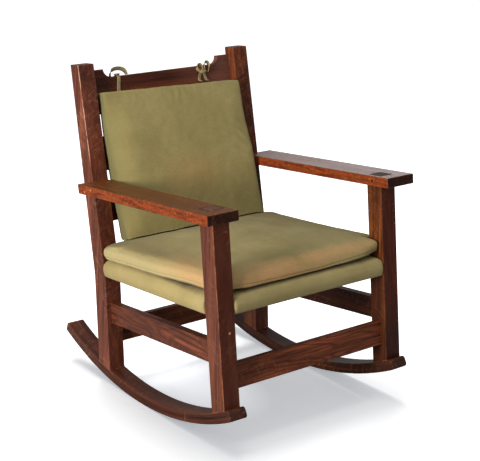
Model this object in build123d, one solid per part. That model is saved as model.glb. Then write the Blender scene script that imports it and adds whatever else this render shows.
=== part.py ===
from build123d import *
import math
import os

# Open-arm rocking chair of square oak members: two slats and a crest rail in the back,
# an upholstered seat, a loose seat cushion, and a back cushion tied to the crest rail.
# All lengths are millimetres. Pieces are drawn in the chair's own upright frame: X across,
# Y from the front legs' front faces to the rear, Z up from the lowest point of the rockers.
# At the end the whole chair is tipped back to the angle at which it rests on the floor.
# "left" is the side at +X, which is the sitter's left.

# Rest pose
rest_tilt = 3.67

# Front legs
leg_width = 52.0
leg_depth = 58.0
leg_outer = 309.8
leg_tenon_shoulder = 5.5
leg_tenon_proud = 1.0

# Rear posts
post_width = 52.0
post_set_in = 11.2
post_bend_front = 590.9
post_bend_height = 347.3
post_foot_splay = 3.585
post_lean = 5.287
post_foot_depth = 62.7
post_bend_depth = 61.6
post_top_depth = 44.1
post_height = 964.4

# Arms
arm_top = 631.6
arm_thickness = 27.8
arm_width = 97.1
arm_inner_reach = 6.8
arm_overhang = 34.9
arm_edge_round = 2.5

# Rockers
rocker_radius = 1069.9
rocker_center = 376.2
rocker_thickness = 30.5
rocker_width = 54.0
rocker_nose_angle = 22.3
rocker_tail_angle = 28.0
rocker_nose_round = 9.0
rocker_tail_round = 6.0

# Stretchers
front_stretcher_bottom = 143.7
front_stretcher_top = 213.1
front_stretcher_inset = 18.2
front_stretcher_thickness = 22.0
rear_stretcher_bottom = 133.7
rear_stretcher_top = 201.8
rear_stretcher_inset = 17.0
rear_stretcher_thickness = 22.0
side_stretcher_height = 62.3
side_stretcher_top = 265.8
side_stretcher_rise = 8.4
side_stretcher_inset = 15.6
side_stretcher_thickness = 24.5

# Back
back_setback = 27.0
crest_thickness = 18.0
crest_drop = 19.34
crest_dip = 24.4
crest_height = 104.6
crest_shoulder_length = 43.2
slat_thickness = 18.0
# shares of the height from the seat to the crest
slat_height_share = 0.24007
upper_slat_share = 0.60334
lower_slat_share = 0.24191

# Tenons and dowels
tenon_length = 24.0
tenon_shoulder = 7.0
thin_core_share = 0.25
dowel_diameter = 12.0
dowel_length = 48.0
pin_diameter = 11.0
pin_length = 38.0
edge_round = 2.0

# Upholstered seat
seat_bottom = 349.0
seat_top = 404.0
seat_front = 3.0
seat_side_inset = 0.6
seat_rear_reach = 34.0
seat_edge_round = 12.0
seat_fit = 0.3
cover_thickness = 1.5
cover_turn_in = 19.0
rail_thickness = 22.0
rail_height = 38.0
strap_width = 48.0
strap_thickness = 1.2
strap_lap = 16.0
strap_count = 5

# Loose seat cushion
cushion_front = 1.5
cushion_rear = 586.0
cushion_side_gap = 4.8
cushion_height = 76.0
cushion_corner = 34.0
cushion_draw_in = 7.0
cushion_leg_gap = 1.0
crown_round_share = 0.4
round_limit_share = 0.9
# height share, inset as a share of the half width
cushion_section_shares = [
    (0.0, 0.04), (0.05, 0.018), (0.13, 0.005), (0.28, 0.0), (0.44, 0.002), (0.53, 0.013), (0.6, 0.045),
    (0.65, 0.1), (0.71, 0.19), (0.78, 0.3), (0.86, 0.43), (0.93, 0.57), (0.98, 0.72), (1.0, 0.85),
]

# Back cushion
pillow_lift = 47.86
pillow_drop = 46.0
pillow_side_gap = 10.6
pillow_depth = 100.0
pillow_gap = 0.4
pillow_corner = 16.0
pillow_crown = 13.0
pillow_back_crown = 5.0
pillow_draw_in = 7.0
# height share, width share, share of the depth at the back edge and at the front edge
pillow_section_shares = [
    (0.0, 0.97, 0.84, 0.07), (0.015, 0.985, 0.9, 0.03), (0.04, 0.995, 0.95, 0.0), (0.1, 1.0, 0.98, -0.02),
    (0.2, 0.985, 0.99, -0.02), (0.33, 0.965, 1.0, 0.01), (0.47, 0.955, 1.0, 0.06), (0.61, 0.955, 1.0, 0.13),
    (0.74, 0.965, 1.0, 0.21), (0.85, 0.98, 1.0, 0.3), (0.93, 0.995, 0.99, 0.385), (0.975, 1.0, 0.97, 0.45),
    (1.0, 0.985, 0.93, 0.51),
]

# Tie tapes: the right one has a standing loop, the left one a bow in front of the crest
tape_thickness = 1.2
right_tape_width = 12.5
right_tape_inset = 92.3
right_tape_slant = 5.4
left_tape_width = 10.0
left_tape_inset = 107.9
left_tape_spread = 11.8
tape_tab = 15.0
tie_gap = 0.5
arc_share = 0.45
knot_round = 2.5
right_knot_width = 18.0
right_knot_height = 7.0
right_knot_depth = 13.0
left_knot_width = 17.0
left_knot_height = 11.0
left_knot_depth = 12.0
left_knot_drop = 23.5
# Routes of the free tape: along X from its own tape, and the height over the crest's low top
# or over the left knot
right_loop_route = [
    (-23.7, 0.0), (-23.7, 7.0), (-18.7, 16.0), (-8.7, 21.5), (8.3, 22.0), (22.8, 17.5), (30.8, 9.0),
    (32.8, 1.0),
]
left_loop_route = [
    (4.8, 0.0), (4.8, 12.0), (9.8, 21.5), (18.3, 22.5), (24.3, 13.5), (23.3, 1.5), (17.3, -9.0),
]
small_loop_route = [
    (-1.2, 0.0), (-1.2, 9.0), (-7.2, 17.0), (-16.2, 16.5), (-20.7, 8.0), (-17.7, -1.0), (-11.7, -4.0),
]

overrun = 5.0


def block(x0, x1, y0, y1, z0, z1):
    """A box between two corners."""
    middle = Pos((x0 + x1) / 2, (y0 + y1) / 2, (z0 + z1) / 2)
    return middle * Box(x1 - x0, y1 - y0, z1 - z0)


def side_prism(points, x0, x1):
    """An outline in Y and Z, run across from x0 to x1."""
    face = make_face(Polyline(*[(y, z) for y, z in points], close=True))
    return Pos(x0, 0, 0) * extrude(Plane.YZ * face, x1 - x0, dir=(1, 0, 0))


def long_edges(solid, axis, shortest):
    """The straight edges that run along an axis for most of a member's length."""
    return [e for e in solid.edges().filter_by(axis) if e.length > shortest]


def mirrored(solid):
    return mirror(solid, about=Plane.YZ)


# Places shared by several pieces
toe_in = math.degrees(math.atan2(post_set_in, post_bend_front))
side_frame = Pos(leg_outer, 0, 0) * Rot(0, 0, toe_in)
back_frame = Pos(0, post_bend_front, post_bend_height) * Rot(-post_lean, 0, 0)
leg_inner = leg_outer - leg_width
post_outer = leg_outer - post_set_in
post_inner = post_outer - post_width
arm_inner = leg_inner - arm_inner_reach
arm_bottom = arm_top - arm_thickness
foot_slope = math.tan(math.radians(post_foot_splay))
lean_slope = math.tan(math.radians(post_lean))
rocker_top_radius = rocker_radius - rocker_thickness
cushion_half_width = leg_outer - cushion_side_gap

# Heights in the back frame, whose Z runs up the posts' front faces
lean_length = 1 / math.cos(math.radians(post_lean))
crest_shoulder_top = (post_height - post_bend_height) * lean_length - crest_drop
crest_low_top = crest_shoulder_top - crest_dip
crest_bottom = crest_low_top - crest_height
seat_level = (seat_top - post_bend_height) * lean_length
slat_span = crest_bottom - seat_level
slat_height = slat_height_share * slat_span
upper_slat_bottom = seat_level + upper_slat_share * slat_span
lower_slat_bottom = seat_level + lower_slat_share * slat_span
pillow_top = crest_low_top - pillow_drop
pillow_bottom = seat_level + pillow_lift * lean_length


def post_front(height):
    """Y of the rear post's front face at a height."""
    if height < post_bend_height:
        return post_bend_front + (post_bend_height - height) * foot_slope
    return post_bend_front + (height - post_bend_height) * lean_slope


# Rockers, drawn in the side frame, whose X is zero on the outer face
def rocker_disc(radius):
    """The disc that a rocker's arc belongs to, wide enough for the legs on it."""
    turned = Plane.YZ * Pos(rocker_center, rocker_radius) * Circle(radius)
    return side_frame * Pos(-rocker_width - overrun, 0, 0) * extrude(turned, rocker_width + overrun + overrun)


def rocker_point(radius, angle):
    turn = math.radians(angle)
    return rocker_center + radius * math.sin(turn), rocker_radius - radius * math.cos(turn)


def make_rocker():
    nose_low = rocker_point(rocker_radius, -rocker_nose_angle)
    tail_low = rocker_point(rocker_radius, rocker_tail_angle)
    nose_high = rocker_point(rocker_top_radius, -rocker_nose_angle)
    tail_high = rocker_point(rocker_top_radius, rocker_tail_angle)
    outline = [
        ThreePointArc(nose_low, rocker_point(rocker_radius, 0), tail_low),
        Line(tail_low, tail_high),
        ThreePointArc(tail_high, rocker_point(rocker_top_radius, 0), nose_high),
        Line(nose_high, nose_low),
    ]
    face = make_face(outline)
    nose = face.vertices().sort_by(Axis.X)[:2]
    face = fillet(nose, rocker_nose_round)
    tail = face.vertices().sort_by(Axis.X)[-2:]
    face = fillet(tail, rocker_tail_round)
    body = extrude(Plane.YZ * face, rocker_width, dir=(1, 0, 0))
    rims = body.faces().filter_by(Axis.X).edges()
    return side_frame * Pos(-rocker_width, 0, 0) * fillet(rims, edge_round)


# Front legs
def leg_blank():
    """The full square leg, from under the rocker's top to the arm's underside."""
    post = block(leg_inner, leg_outer, 0, leg_depth, 0, arm_bottom)
    return fillet(long_edges(post, Axis.Z, arm_bottom / 2), edge_round)


def leg_tenon():
    """The tenon that goes up through the arm and shows on top of it."""
    rim = leg_tenon_shoulder
    top = arm_top + leg_tenon_proud
    tenon = block(leg_inner + rim, leg_outer - rim, rim, leg_depth - rim, arm_bottom - overrun, top)
    return chamfer(tenon.faces().sort_by(Axis.Z)[-1].edges(), leg_tenon_proud)


def rocker_dowel(front):
    """The dowel between a rocker and a leg that starts at the Y given, square to the arc."""
    angle = math.degrees(math.asin((front - rocker_center) / rocker_top_radius))
    y, z = rocker_point(rocker_top_radius, angle)
    dowel = Cylinder(dowel_diameter / 2, dowel_length)
    return side_frame * Pos(-leg_width / 2, y, z) * Rot(angle, 0, 0) * dowel


# Rear posts
def post_blank():
    foot = 0.0
    outline = [
        (post_front(foot), foot),
        (post_bend_front, post_bend_height),
        (post_front(post_height), post_height),
        (post_front(post_height) + post_top_depth, post_height),
        (post_bend_front + post_bend_depth, post_bend_height),
        (post_front(foot) + post_foot_depth, foot),
    ]
    post = side_prism(outline, post_inner, post_outer)
    eased = [e for e in post.edges() if e.length > post_bend_height / 2]
    eased += post.faces().sort_by(Axis.Z)[-1].edges()
    return fillet(eased, edge_round)


# Stretchers and rails: a full section between the members, and a tenon into each
def cross_member(half_span, y0, y1, z0, z1):
    """A member across the chair, with a tenon at each end."""
    body = block(-half_span, half_span, y0, y1, z0, z1)
    body = fillet(long_edges(body, Axis.X, half_span), edge_round)
    rim = tenon_shoulder
    reach = half_span + tenon_length
    core = min(rim, (y1 - y0) * thin_core_share)
    return body + block(-reach, reach, y0 + core, y1 - core, z0 + rim, z1 - rim)


def cross_tenon(half_span, y0, y1, z0, z1):
    """The left tenon of a cross member, to cut its mortise."""
    rim = tenon_shoulder
    core = min(rim, (y1 - y0) * thin_core_share)
    return block(half_span - overrun, half_span + tenon_length, y0 + core, y1 - core, z0 + rim, z1 - rim)


front_stretcher_place = (
    leg_inner, front_stretcher_inset, front_stretcher_inset + front_stretcher_thickness,
    front_stretcher_bottom, front_stretcher_top,
)
rear_stretcher_y = post_front(rear_stretcher_bottom) + rear_stretcher_inset
rear_stretcher_place = (
    post_inner, rear_stretcher_y, rear_stretcher_y + rear_stretcher_thickness,
    rear_stretcher_bottom, rear_stretcher_top,
)
rail_bottom = seat_bottom + cover_thickness
rail_top = rail_bottom + rail_height
front_rail_y = seat_front + cover_thickness
front_rail_place = (leg_inner, front_rail_y, front_rail_y + rail_thickness, rail_bottom, rail_top)
seat_rear = post_bend_front + seat_rear_reach
rear_rail_y = seat_rear - cover_thickness
rear_rail_place = (post_inner, rear_rail_y - rail_thickness, rear_rail_y, rail_bottom, rail_top)


def side_member(outer_inset, thickness, front_low, front_high, rear_low, rear_high):
    """A member along one side in the side frame, running well into the leg and the post."""
    y0 = leg_depth - tenon_length
    y1 = post_bend_front + tenon_length
    outline = [(y0, front_low), (y1, rear_low), (y1, rear_high), (y0, front_high)]
    return side_frame * side_prism(outline, -outer_inset - thickness, -outer_inset)


def side_pair(inset, thickness, front_low, front_high, rear_low, rear_high):
    """The shouldered member and its long tenon core."""
    whole = side_member(inset, thickness, front_low, front_high, rear_low, rear_high)
    eased = [e for e in whole.edges() if e.length > post_bend_front / 2]
    whole = fillet(eased, edge_round)
    rim = tenon_shoulder
    core = side_member(
        inset + rim, thickness - rim - rim, front_low + rim, front_high - rim, rear_low + rim, rear_high - rim
    )
    return whole, core


def make_side_stretcher(leg, post):
    bottom = side_stretcher_top - side_stretcher_height
    rise = side_stretcher_rise
    whole, core = side_pair(
        side_stretcher_inset, side_stretcher_thickness, bottom + rise, side_stretcher_top + rise,
        bottom, side_stretcher_top,
    )
    return (whole - leg - post) + core, core


def make_side_rail(leg, post):
    inset = seat_side_inset + cover_thickness
    whole, core = side_pair(inset, rail_thickness, rail_bottom, rail_top, rail_bottom, rail_top)
    return (whole - leg - post) + core, core


# Arms
def arm_blank():
    outline = [
        (-arm_overhang, arm_bottom),
        (post_front(arm_bottom), arm_bottom),
        (post_front(arm_top), arm_top),
        (-arm_overhang, arm_top),
    ]
    arm = side_prism(outline, arm_inner, arm_inner + arm_width)
    eased = long_edges(arm, Axis.Y, post_bend_front / 2)
    eased += arm.faces().sort_by(Axis.Y)[0].edges()
    return fillet(eased, arm_edge_round)


def arm_pin():
    """The pin driven through the arm's inner edge into the leg's tenon."""
    pin = Rot(0, 90, 0) * Cylinder(pin_diameter / 2, pin_length)
    return Pos(arm_inner + pin_length / 2, leg_depth / 2, arm_bottom + arm_thickness / 2) * pin


def arm_dowels():
    """Two dowels between the arm's rear end and the post's front face."""
    height = arm_bottom + arm_thickness / 2
    middle = (arm_inner + post_outer) / 2
    dowel = Rot(90, 0, 0) * Cylinder(dowel_diameter / 2, dowel_length)
    places = (middle - dowel_diameter, middle + dowel_diameter)
    return [Pos(across, post_front(height), height) * dowel for across in places]


# Back rails, drawn in the back frame
def back_board(bottom, top, thickness):
    """A board between the posts with a tenon at each end."""
    place = (post_inner, back_setback, back_setback + thickness, bottom, top)
    body = block(-post_inner, post_inner, *place[1:])
    body = fillet(long_edges(body, Axis.X, post_inner), edge_round)
    rim = min(tenon_shoulder, thickness * thin_core_share)
    reach = post_inner + tenon_length
    front = back_setback + rim
    back = back_setback + thickness - rim
    return body, block(-reach, reach, front, back, bottom + tenon_shoulder, top - tenon_shoulder)


def make_slat(bottom):
    body, core = back_board(bottom, bottom + slat_height, slat_thickness)
    return back_frame * (body + core)


def make_crest():
    """The top rail, whose long middle is lowered between two shoulders."""
    body, core = back_board(crest_bottom, crest_low_top, crest_thickness)
    inner = post_inner - crest_shoulder_length
    start = inner - crest_dip
    bend = crest_dip * math.sqrt(0.5)
    outline = [
        Line((start, crest_low_top), (start, crest_bottom)),
        Line((start, crest_bottom), (post_inner, crest_bottom)),
        Line((post_inner, crest_bottom), (post_inner, crest_shoulder_top)),
        Line((post_inner, crest_shoulder_top), (inner, crest_shoulder_top)),
        ThreePointArc(
            (inner, crest_shoulder_top), (start + bend, crest_shoulder_top - bend), (start, crest_low_top)
        ),
    ]
    shoulder = Pos(0, back_setback + crest_thickness, 0) * extrude(
        Plane.XZ * make_face(outline), crest_thickness, dir=(0, -1, 0)
    )
    return back_frame * (body + shoulder + mirrored(shoulder) + core)


# Upholstered seat
def seat_outline(inset):
    """The seat's plan, notched round the front legs and let in between the posts."""
    front = seat_front + inset
    notch = leg_depth + seat_fit + inset
    inner = leg_inner - seat_fit - inset
    side_front = leg_outer - seat_side_inset - inset
    side_rear = post_outer - seat_side_inset - inset
    rear = post_bend_front - seat_fit - inset
    throat = post_inner - seat_fit - inset
    right_half = [
        (inner, front), (inner, notch), (side_front, notch), (side_rear, rear),
        (throat, rear), (throat, seat_rear - inset),
    ]
    left_half = [(-x, y) for x, y in reversed(right_half)]
    return make_face(Polyline(*(right_half + left_half), close=True))


def seat_body(inset, low, high, rounding):
    body = Pos(0, 0, low) * extrude(seat_outline(inset), high - low, dir=(0, 0, 1))
    rim = body.faces().sort_by(Axis.Z)[-1]
    return fillet(rim.edges(), rounding) if rounding > 0 else body


strap_low = rail_top
strap_high = strap_low + strap_thickness + strap_thickness


def make_straps():
    """Two layers of webbing laid over the rails, the long ones below the cross ones."""
    reach_x = post_outer - seat_side_inset - cover_thickness - rail_thickness + strap_lap
    y0 = front_rail_y + rail_thickness - strap_lap
    y1 = rear_rail_y - rail_thickness + strap_lap
    long_pitch = (leg_inner - strap_width) * 2 / (strap_count + 1)
    cross_pitch = (post_bend_front - leg_depth) / (strap_count + 1)
    middle = strap_low + strap_thickness
    half = strap_width / 2
    long_straps = []
    cross_straps = []
    for i in range(strap_count):
        x = (i - (strap_count - 1) / 2) * long_pitch
        y = leg_depth + (i + 1) * cross_pitch
        long_straps.append(block(x - half, x + half, y0, y1, strap_low, middle))
        cross_straps.append(block(-reach_x, reach_x, y - half, y + half, middle, strap_high))
    return long_straps, cross_straps


def make_seat():
    """The padding over the straps, and the cover that wraps it and the rails."""
    skin = cover_thickness
    outer = seat_body(0, seat_bottom, seat_top, seat_edge_round)
    inner = seat_body(skin, rail_bottom, seat_top - skin, seat_edge_round - skin)
    under = seat_body(cover_turn_in, seat_bottom - overrun, rail_bottom + overrun, 0)
    cover = outer - inner - under
    floor = seat_body(0, strap_high, seat_top, 0)
    return inner & floor, cover


# Cushions
def soft_outline(x_half, y_half, corner, draws):
    """A rounded oblong whose four sides bow by the amounts given, inwards where positive."""
    front, side, back = draws
    bend = corner * (1 - math.sqrt(0.5))
    a, b = x_half, y_half
    edges = []
    edges.append(ThreePointArc((-a + corner, -b), (0, -b + front), (a - corner, -b)))
    edges.append(ThreePointArc((a - corner, -b), (a - bend, -b + bend), (a, -b + corner)))
    edges.append(ThreePointArc((a, -b + corner), (a - side, 0), (a, b - corner)))
    edges.append(ThreePointArc((a, b - corner), (a - bend, b - bend), (a - corner, b)))
    edges.append(ThreePointArc((a - corner, b), (0, b - back), (-a + corner, b)))
    edges.append(ThreePointArc((-a + corner, b), (-a + bend, b - bend), (-a, b - corner)))
    edges.append(ThreePointArc((-a, b - corner), (-a + side, 0), (-a, -b + corner)))
    edges.append(ThreePointArc((-a, -b + corner), (-a + bend, -b + bend), (-a + corner, -b)))
    return make_face(edges)


def make_seat_cushion():
    """A boxed cushion with a crowned top, notched round the front legs."""
    middle = (cushion_front + cushion_rear) / 2
    y_half = (cushion_rear - cushion_front) / 2
    sections = []
    for height_share, inset_share in cushion_section_shares:
        inset = inset_share * cushion_half_width
        across = cushion_half_width - inset
        along = y_half - inset
        draw = cushion_draw_in * (1 - inset_share)
        corner = min(cushion_corner + crown_round_share * inset, round_limit_share * min(across, along))
        face = soft_outline(across, along, corner, (draw, draw, draw))
        sections.append(Pos(0, middle, seat_top + height_share * cushion_height) * face)
    cushion = loft(sections, ruled=True)
    gap = cushion_leg_gap
    top = seat_top + cushion_height + overrun
    notch = block(leg_inner - gap, leg_outer + overrun, -overrun, leg_depth + gap, seat_top - overrun, top)
    return cushion - notch - mirrored(notch)


def make_back_cushion():
    """A thick pillow that narrows upwards, leaning on the slats."""
    sections = []
    height = pillow_top - pillow_bottom
    half_width = post_inner - pillow_side_gap
    rear = back_setback - pillow_gap - pillow_back_crown
    for height_share, width_share, back_share, front_share in pillow_section_shares:
        back = rear - (1 - back_share) * pillow_depth
        front = rear - (1 - front_share) * pillow_depth
        y_half = (back - front) / 2
        x_half = half_width * width_share
        bows = (-pillow_crown * back_share, pillow_draw_in, -pillow_back_crown * back_share)
        face = soft_outline(x_half, y_half, min(pillow_corner, y_half / 2), bows)
        sections.append(Pos(0, (back + front) / 2, pillow_bottom + height_share * height) * face)
    return back_frame * loft(sections, ruled=True)


# Tie tapes, drawn in the back frame
tape_face = back_setback - pillow_gap
crest_back = back_setback + crest_thickness
right_tape_x = right_tape_inset - post_inner
left_tape_x = post_inner - left_tape_inset


def tape_leg(top_x, bottom_x, width, layer):
    """A tape down the crest's front, with its sewn tab on top of the back cushion."""
    half = width / 2
    outline = [
        (top_x - half, crest_low_top - tie_gap), (top_x + half, crest_low_top - tie_gap),
        (bottom_x + half, pillow_top), (bottom_x - half, pillow_top),
    ]
    face = make_face(Polyline(*outline, close=True))
    rear = tape_face - layer * tape_thickness
    strip = Pos(0, rear, 0) * extrude(Plane.XZ * face, tape_thickness, dir=(0, -1, 0))
    tab = block(
        bottom_x - half, bottom_x + half, rear - tape_tab, rear, pillow_top, pillow_top + tape_thickness
    )
    return strip + tab


def tape_band(x, width):
    """The tape under, behind and over the crest rail."""
    wrap = tape_thickness
    front = back_setback + tie_gap
    half = width / 2
    outer = block(x - half, x + half, front, crest_back + wrap, crest_bottom - wrap, crest_low_top + wrap)
    return outer - block(x - width, x + width, front - wrap, crest_back, crest_bottom, crest_low_top)


def knot(x, y, bottom, width, depth, height):
    """A small flat knot, centred at x and y."""
    body = block(x - width / 2, x + width / 2, y - depth / 2, y + depth / 2, bottom, bottom + height)
    return fillet(body.edges(), knot_round)


def tape_loop(route, width, x, y, base, name):
    """A tape along a route in the crest's plane, its width running front to back."""
    points = [Vector(x + step, y, base + rise) for step, rise in route]
    runs = [second - first for first, second in zip(points, points[1:])]
    radii = []
    for before, after in zip(runs, runs[1:]):
        half_turn = math.radians(before.get_angle(after)) / 2
        radii.append(arc_share * min(before.length, after.length) / math.tan(half_turn))
    path = FilletPolyline(*points, radius=radii)
    start = Plane(origin=path @ 0, x_dir=(0, 1, 0), z_dir=path % 0)
    tape = sweep(start * Rectangle(width, tape_thickness), path)
    filled = tape.volume / (width * tape_thickness * path.length)
    print(name, "radii", [round(r, 1) for r in radii])
    print(name, "length", round(path.length, 1), "filled", round(filled, 4))
    return tape


def make_ties():
    """The tapes of both ties under the names of their nodes."""
    ties = {}
    crest_middle = (back_setback + crest_back) / 2
    over = crest_low_top + tape_thickness
    ties["tie_band_right"] = tape_band(right_tape_x, right_tape_width)
    ties["tie_band_left"] = tape_band(left_tape_x, left_tape_width)
    ties["tie_knot_right"] = knot(
        right_tape_x, crest_middle, over, right_knot_width, right_knot_depth, right_knot_height
    )
    ties["tie_loop_right"] = tape_loop(
        right_loop_route, right_tape_width, right_tape_x, crest_middle, crest_low_top, "right loop"
    )
    ties["tie_tape_right"] = tape_leg(right_tape_x, right_tape_x - right_tape_slant, right_tape_width, 0)
    inner = tape_leg(left_tape_x, left_tape_x - left_tape_spread, left_tape_width, 0)
    outer = tape_leg(left_tape_x, left_tape_x + left_tape_spread, left_tape_width, 1)
    ties["tie_tapes_left"] = Compound(children=[inner, outer])
    knot_y = tape_face - tape_thickness - tape_thickness - left_knot_depth / 2
    knot_bottom = crest_low_top - left_knot_drop
    knot_top = knot_bottom + left_knot_height
    ties["tie_knot_left"] = knot(
        left_tape_x, knot_y, knot_bottom, left_knot_width, left_knot_depth, left_knot_height
    )
    ties["tie_loop_left"] = tape_loop(
        left_loop_route, left_tape_width, left_tape_x, knot_y, knot_top, "left loop"
    )
    ties["tie_small_loop_left"] = tape_loop(
        small_loop_route, left_tape_width, left_tape_x, knot_y, knot_top, "small loop"
    )
    return {name: back_frame * tie for name, tie in ties.items()}


# Assembly in the upright frame, first the left side and what joins the two sides
leg = leg_blank() & rocker_disc(rocker_top_radius)
post = post_blank() & rocker_disc(rocker_top_radius)
rocker = make_rocker()
side_stretcher, side_stretcher_core = make_side_stretcher(leg, post)
side_rail, side_rail_core = make_side_rail(leg, post)
post_foot = post_front(rocker_thickness)
dowels = [rocker_dowel(leg_depth / 2), rocker_dowel(post_foot + post_foot_depth / 2)]
pin = arm_pin()
arm_pegs = arm_dowels()

crest = make_crest()
upper_slat = make_slat(upper_slat_bottom)
lower_slat = make_slat(lower_slat_bottom)
front_stretcher = cross_member(*front_stretcher_place)
rear_stretcher = cross_member(*rear_stretcher_place)
front_rail = cross_member(*front_rail_place)
rear_rail = cross_member(*rear_rail_place)

leg_cuts = [cross_tenon(*front_stretcher_place), cross_tenon(*front_rail_place), dowels[0]]
leg = leg + leg_tenon()
for cut in leg_cuts + [side_stretcher_core, side_rail_core, pin]:
    leg = leg - cut
post_cuts = [cross_tenon(*rear_stretcher_place), cross_tenon(*rear_rail_place), dowels[1]]
for cut in post_cuts + [side_stretcher_core, side_rail_core, crest, upper_slat, lower_slat] + arm_pegs:
    post = post - cut
for dowel in dowels:
    rocker = rocker - dowel
arm = arm_blank() - leg_tenon() - pin
for peg in arm_pegs:
    arm = arm - peg

padding, cover = make_seat()
for rail in (front_rail, rear_rail, side_rail, mirrored(side_rail)):
    cover = cover - rail
long_straps, cross_straps = make_straps()

pieces = {
    "crest_rail": crest,
    "back_slat_upper": upper_slat,
    "back_slat_lower": lower_slat,
    "stretcher_front": front_stretcher,
    "stretcher_rear": rear_stretcher,
    "seat_rail_front": front_rail,
    "seat_rail_rear": rear_rail,
    "seat_webbing_long": Compound(children=long_straps),
    "seat_webbing_cross": Compound(children=cross_straps),
    "seat_padding": padding,
    "seat_cover": cover,
    "seat_cushion": make_seat_cushion(),
    "back_cushion": make_back_cushion(),
}
sides = {
    "leg_front": leg,
    "post_rear": post,
    "arm": arm,
    "rocker": rocker,
    "stretcher_side": side_stretcher,
    "seat_rail_side": side_rail,
    "arm_pin": pin,
}
for name, solid in sides.items():
    pieces[name + "_left"] = solid
    pieces[name + "_right"] = mirrored(solid)
pieces["rocker_dowels"] = Compound(children=dowels + [mirrored(d) for d in dowels])
pieces["arm_dowels"] = Compound(children=arm_pegs + [mirrored(d) for d in arm_pegs])
pieces.update(make_ties())

# The rest pose: tipped back on the rockers, with the origin at the bottom centre of the whole
tipped = {name: Rot(-rest_tilt, 0, 0) * solid for name, solid in pieces.items()}
boxes = [solid.bounding_box() for solid in tipped.values()]
low_y = min(box.min.Y for box in boxes)
high_y = max(box.max.Y for box in boxes)
settle = Pos(0, -(low_y + high_y) / 2, -min(box.min.Z for box in boxes))
print("moved by", settle.position)

os.makedirs("parts", exist_ok=True)
for name, solid in tipped.items():
    placed = settle * solid
    placed.label = name
    export_step(placed, "parts/" + name + ".step")
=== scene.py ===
import math

import bmesh
import bpy
import numpy as np
from mathutils import Matrix, Vector, noise
from mathutils.bvhtree import BVHTree


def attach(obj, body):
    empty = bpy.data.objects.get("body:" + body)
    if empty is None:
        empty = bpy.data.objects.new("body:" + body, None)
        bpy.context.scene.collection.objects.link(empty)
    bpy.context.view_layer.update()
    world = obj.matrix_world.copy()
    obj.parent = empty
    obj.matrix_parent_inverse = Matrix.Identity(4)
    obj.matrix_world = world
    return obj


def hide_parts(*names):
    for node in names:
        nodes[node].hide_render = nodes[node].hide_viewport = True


# Looks of the open-arm oak rocking chair, in metres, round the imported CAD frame. Right and left are the sitter's;
# the right side (-X) is near the camera.
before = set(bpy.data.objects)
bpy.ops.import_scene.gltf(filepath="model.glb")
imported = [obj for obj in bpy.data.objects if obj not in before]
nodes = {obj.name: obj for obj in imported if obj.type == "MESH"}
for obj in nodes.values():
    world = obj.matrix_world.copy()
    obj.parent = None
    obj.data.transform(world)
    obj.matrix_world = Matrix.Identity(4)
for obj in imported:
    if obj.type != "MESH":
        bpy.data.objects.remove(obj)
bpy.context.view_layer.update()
scene = bpy.context.scene

# The chair's own upright frame, as in the part's source, and the way to its rest pose
TILT = math.radians(3.67)
REST_Y = -0.430017
REST_Z = 0.026267
LEAN = math.radians(5.287)
BEND_Y = 0.5909
BEND_Z = 0.3473
SEAT_TOP = 0.404
LEG_INNER = 0.2578
LEG_OUTER = 0.3098
LEG_DEPTH = 0.058
POST_INNER = 0.2466
POST_OUTER = 0.2986
CREST_TOP = 0.576
SETBACK = 0.027


def tipped(points, angle, y, z):
    """Points turned about the X axis, their tops to the rear, then moved."""
    p = np.atleast_2d(np.asarray(points, float))
    c, s = math.cos(angle), math.sin(angle)
    return np.stack([p[:, 0], p[:, 1] * c + p[:, 2] * s + y, -p[:, 1] * s + p[:, 2] * c + z], 1)


def rest(points):
    """From the upright frame to the rest pose."""
    return tipped(points, TILT, REST_Y, REST_Z)


def upright(points):
    """From the rest pose back to the upright frame."""
    return tipped(points - np.array((0, REST_Y, REST_Z)), -TILT, 0, 0)


def back_to_rest(points):
    """From the back frame (across, behind the posts' front faces, up along them) to the rest pose."""
    return rest(tipped(points, LEAN, BEND_Y, BEND_Z))


def direction(vector):
    """A direction of the upright frame, in the rest pose."""
    return Vector(tipped([vector], TILT, 0, 0)[0])


def back_axis(x, y, a):
    """A direction of the back frame, in the rest pose."""
    return Vector(back_to_rest([(x, y, a)])[0] - back_to_rest([(0, 0, 0)])[0])


def placed(name, data):
    """A new object in the scene."""
    obj = bpy.data.objects.new(name, data)
    scene.collection.objects.link(obj)
    return obj


# Camera, fitted to the photograph in the upright frame
AZIMUTH = math.radians(-35.402)
ELEVATION = math.radians(13.032)
ROLL = math.radians(3.277)
CAMERA_PLACE = (-2.0390, -2.5508, 1.2926)
CAMERA_LENS = 94.7325
SENSOR_WIDTH = 36.0


def make_camera():
    level = math.cos(ELEVATION)
    out = Vector((math.sin(AZIMUTH) * level, -math.cos(AZIMUTH) * level, math.sin(ELEVATION)))
    right = (-out).cross(Vector((0, 0, 1))).normalized()
    down = (-out).cross(right)
    c, s = math.cos(ROLL), math.sin(ROLL)
    right_rolled = c * right + s * down
    down_rolled = -s * right + c * down
    data = bpy.data.cameras.new("camera")
    data.sensor_fit = "HORIZONTAL"
    data.sensor_width = SENSOR_WIDTH
    data.lens = CAMERA_LENS
    data.clip_start = 0.1
    data.clip_end = 100.0
    camera = placed("camera", data)
    axes = Matrix((direction(right_rolled), -direction(down_rolled), direction(out))).transposed()
    camera.matrix_world = Matrix.Translation(Vector(rest([CAMERA_PLACE])[0])) @ axes.to_4x4()
    scene.camera = camera


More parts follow.
